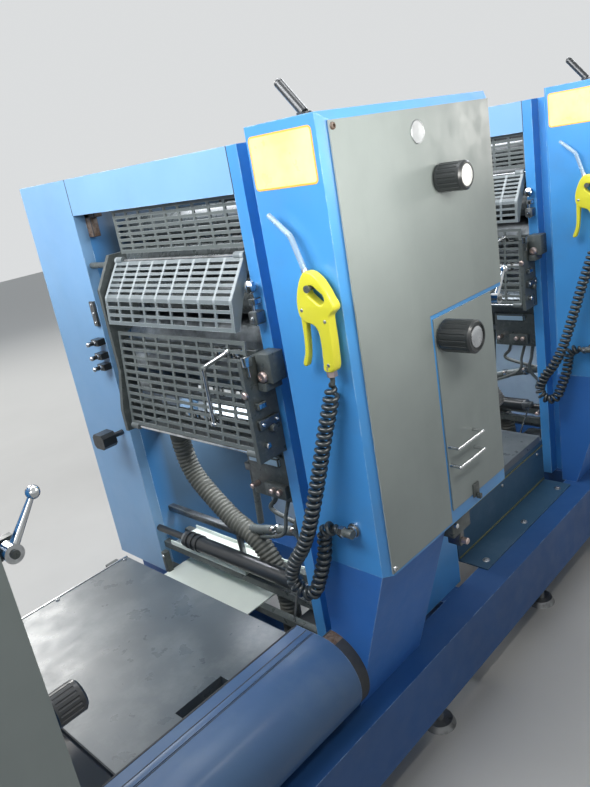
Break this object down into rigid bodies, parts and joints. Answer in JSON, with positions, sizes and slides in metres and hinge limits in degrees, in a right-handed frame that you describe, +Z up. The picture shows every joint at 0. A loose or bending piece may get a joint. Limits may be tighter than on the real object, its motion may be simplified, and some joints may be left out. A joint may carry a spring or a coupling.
{
  "type": "offset printing press, three in-line printing units",
  "caption": "Small-format sheet-fed offset printing press: in-line printing units on a common base, with step boards, slotted guards and air guns.",
  "frame": {"origin": "on the floor under the middle of the press", "axes": "+X along the machine in the direction the sheets run, -Y to the operator side, +Z up"},
  "size_m": [3.285, 1.28, 1.6623],
  "materials": {
    "blue_enamel": "semi-gloss blue enamel",
    "deep_blue_enamel": "semi-gloss dark blue enamel",
    "grey_panel_paint": "satin grey paint",
    "board_paint": "scuffed grey-blue paint",
    "guard_black": "satin black paint",
    "black_steel": "blackened steel",
    "chrome": "polished chrome",
    "roller_rubber": "ink-covered rubber",
    "hose_rubber": "ribbed rubber",
    "black_plastic": "moulded black plastic",
    "coil_plastic": "black polyurethane",
    "gun_yellow": "moulded yellow plastic",
    "tray_ivory": "ivory paint",
    "bare_steel": "plain steel"
  },
  "bodies": {
    "press": {"operator_base_rail": "deep_blue_enamel", "far_base_rail": "deep_blue_enamel", "base_cross_members": "deep_blue_enamel", "levelling_feet": "bare_steel", "step_boards": "board_paint", "step_nosings": "blue_enamel", "step_risers": "deep_blue_enamel", "step_supports": "black_steel", "operator_side_frames": "blue_enamel", "far_side_frames": "blue_enamel", "operator_covers": "blue_enamel", "operator_leg_covers": "deep_blue_enamel", "grey_panels": "grey_panel_paint", "door_panels": "grey_panel_paint", "far_covers": "blue_enamel", "far_leg_covers": "deep_blue_enamel", "portal_beams": "blue_enamel", "top_covers": "blue_enamel", "rear_cross_panels": "blue_enamel", "rear_guards": "guard_black", "upper_grilles": "guard_black", "guard_carriers": "black_steel", "guard_hinge_rods": "chrome", "tie_bars": "black_steel", "cylinders": "chrome", "ink_rollers": "roller_rubber", "damp_rollers": "chrome", "suction_hoses": "hose_rubber", "cross_tubes": "black_plastic", "tray_bars": "black_steel", "drip_trays": "tray_ivory", "drain_boxes": "black_plastic", "post_latches": "black_plastic", "lever_brackets": "black_steel", "rear_knobs": "black_plastic", "door_pulls": "chrome", "top_grips": "black_plastic", "cover_fittings": "black_steel", "air_guns": "gun_yellow", "air_hose_1": "coil_plastic", "air_hose_2": "coil_plastic", "air_hose_3": "coil_plastic"},
    "ink_guard_1": {"ink_guard_1": "guard_black"},
    "plate_guard_1": {"plate_guard_1": "guard_black"},
    "upper_knob_1": {"upper_knob_1": "black_plastic"},
    "lower_knob_1": {"lower_knob_1": "black_plastic"},
    "throw_lever_1": {"throw_lever_1": "chrome"},
    "ink_guard_2": {"ink_guard_2": "guard_black"},
    "plate_guard_2": {"plate_guard_2": "guard_black"},
    "upper_knob_2": {"upper_knob_2": "black_plastic"},
    "lower_knob_2": {"lower_knob_2": "black_plastic"},
    "throw_lever_2": {"throw_lever_2": "chrome"},
    "ink_guard_3": {"ink_guard_3": "guard_black"},
    "plate_guard_3": {"plate_guard_3": "guard_black"},
    "upper_knob_3": {"upper_knob_3": "black_plastic"},
    "lower_knob_3": {"lower_knob_3": "black_plastic"},
    "throw_lever_3": {"throw_lever_3": "chrome"}
  },
  "joints": [
    {"name": "ink_guard_hinge_1", "type": "hinge", "parent": "press", "child": "ink_guard_1", "pos_m": [-1.4975, -0.026, 1.352], "axis": [0, 1, 0], "range_deg": [0, 75]},
    {"name": "plate_guard_hinge_1", "type": "hinge", "parent": "press", "child": "plate_guard_1", "pos_m": [-1.5685, -0.026, 0.929], "axis": [0, -1, 0], "range_deg": [0, 75]},
    {"name": "upper_knob_turn_1", "type": "hinge", "parent": "press", "child": "upper_knob_1", "pos_m": [-1.2075, -0.56, 1.436], "axis": [0, -1, 0], "continuous": true},
    {"name": "lower_knob_turn_1", "type": "hinge", "parent": "press", "child": "lower_knob_1", "pos_m": [-1.2475, -0.56, 1.12], "axis": [0, -1, 0], "continuous": true},
    {"name": "throw_lever_swing_1", "type": "hinge", "parent": "press", "child": "throw_lever_1", "pos_m": [-0.9545, -0.525, 1.122], "axis": [0, -1, 0], "range_deg": [-47, 33]},
    {"name": "ink_guard_hinge_2", "type": "hinge", "parent": "press", "child": "ink_guard_2", "pos_m": [-0.2475, -0.026, 1.352], "axis": [0, 1, 0], "range_deg": [0, 75]},
    {"name": "plate_guard_hinge_2", "type": "hinge", "parent": "press", "child": "plate_guard_2", "pos_m": [-0.3185, -0.026, 0.929], "axis": [0, -1, 0], "range_deg": [0, 75]},
    {"name": "upper_knob_turn_2", "type": "hinge", "parent": "press", "child": "upper_knob_2", "pos_m": [0.0425, -0.56, 1.436], "axis": [0, -1, 0], "continuous": true},
    {"name": "lower_knob_turn_2", "type": "hinge", "parent": "press", "child": "lower_knob_2", "pos_m": [0.0025, -0.56, 1.12], "axis": [0, -1, 0], "continuous": true},
    {"name": "throw_lever_swing_2", "type": "hinge", "parent": "press", "child": "throw_lever_2", "pos_m": [0.2955, -0.525, 1.122], "axis": [0, -1, 0], "range_deg": [-47, 33]},
    {"name": "ink_guard_hinge_3", "type": "hinge", "parent": "press", "child": "ink_guard_3", "pos_m": [1.0025, -0.026, 1.352], "axis": [0, 1, 0], "range_deg": [0, 75]},
    {"name": "plate_guard_hinge_3", "type": "hinge", "parent": "press", "child": "plate_guard_3", "pos_m": [0.9315, -0.026, 0.929], "axis": [0, -1, 0], "range_deg": [0, 75]},
    {"name": "upper_knob_turn_3", "type": "hinge", "parent": "press", "child": "upper_knob_3", "pos_m": [1.2925, -0.56, 1.436], "axis": [0, -1, 0], "continuous": true},
    {"name": "lower_knob_turn_3", "type": "hinge", "parent": "press", "child": "lower_knob_3", "pos_m": [1.2525, -0.56, 1.12], "axis": [0, -1, 0], "continuous": true},
    {"name": "throw_lever_swing_3", "type": "hinge", "parent": "press", "child": "throw_lever_3", "pos_m": [1.5455, -0.525, 1.122], "axis": [0, -1, 0], "range_deg": [-47, 33]}
  ]
}
